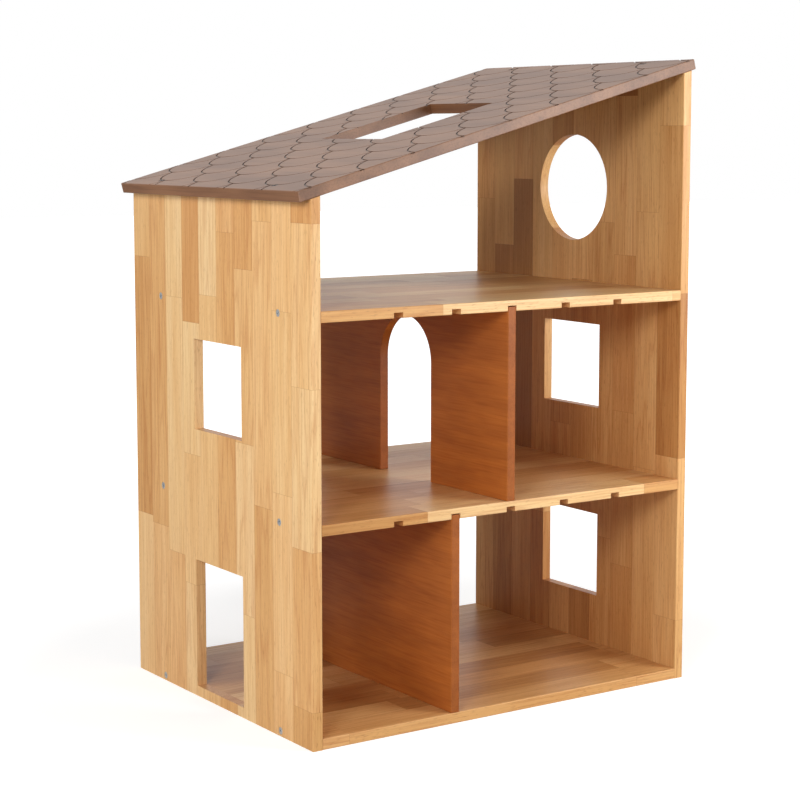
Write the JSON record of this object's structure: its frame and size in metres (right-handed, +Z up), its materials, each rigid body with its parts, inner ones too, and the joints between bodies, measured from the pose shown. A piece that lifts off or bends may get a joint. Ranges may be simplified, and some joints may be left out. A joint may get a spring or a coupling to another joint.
{
  "type": "wooden dollhouse",
  "caption": "Open two-storey dollhouse with attic: stave-board sides and shelves, sloping scale-engraved roof with skylight, windows, round window and sliding partitions.",
  "frame": {"origin": "middle of the floor board's underside, halfway between the side panels", "axes": "+Z up, the open front towards -Y, +X towards the tall side panel"},
  "size_m": [0.537, 0.4, 0.7292],
  "materials": {
    "lacquered_rubberwood": "clear satin lacquer over butt-jointed rubberwood staves",
    "stained_partition_board": "red-brown stain under satin lacquer",
    "stained_roof_board": "dark brown stain under satin lacquer",
    "zinc_plated_steel": "bright zinc plated",
    "blackened_steel": "black oxide, oiled",
    "beech_dowel": "raw, fluted"
  },
  "bodies": {
    "house": {"left_side_panel": "lacquered_rubberwood", "right_side_panel": "lacquered_rubberwood", "floor_board": "lacquered_rubberwood", "middle_shelf": "lacquered_rubberwood", "top_shelf": "lacquered_rubberwood", "roof_panel": "stained_roof_board", "floor_board_left_front_screw": "zinc_plated_steel", "floor_board_left_back_screw": "zinc_plated_steel", "floor_board_right_front_screw": "zinc_plated_steel", "floor_board_right_back_screw": "zinc_plated_steel", "middle_shelf_left_front_screw": "zinc_plated_steel", "middle_shelf_left_back_screw": "zinc_plated_steel", "middle_shelf_right_front_screw": "zinc_plated_steel", "middle_shelf_right_back_screw": "zinc_plated_steel", "top_shelf_left_front_screw": "zinc_plated_steel", "top_shelf_left_back_screw": "zinc_plated_steel", "top_shelf_right_front_screw": "zinc_plated_steel", "top_shelf_right_back_screw": "zinc_plated_steel", "roof_left_front_screw": "blackened_steel", "roof_left_back_screw": "blackened_steel", "roof_right_front_screw": "blackened_steel", "roof_right_back_screw": "blackened_steel", "floor_board_left_dowel": "beech_dowel", "floor_board_right_dowel": "beech_dowel", "middle_shelf_left_dowel": "beech_dowel", "middle_shelf_right_dowel": "beech_dowel", "top_shelf_left_dowel": "beech_dowel", "top_shelf_right_dowel": "beech_dowel"},
    "upper_partition": {"upper_partition": "stained_partition_board"},
    "lower_partition": {"lower_partition": "stained_partition_board"}
  },
  "joints": [
    {"name": "upper_partition_slide", "type": "slide", "parent": "house", "child": "upper_partition", "axis": [0, -1, 0], "range_m": [-0.4, 0.4]},
    {"name": "lower_partition_slide", "type": "slide", "parent": "house", "child": "lower_partition", "axis": [0, -1, 0], "range_m": [-0.4, 0.4]}
  ]
}
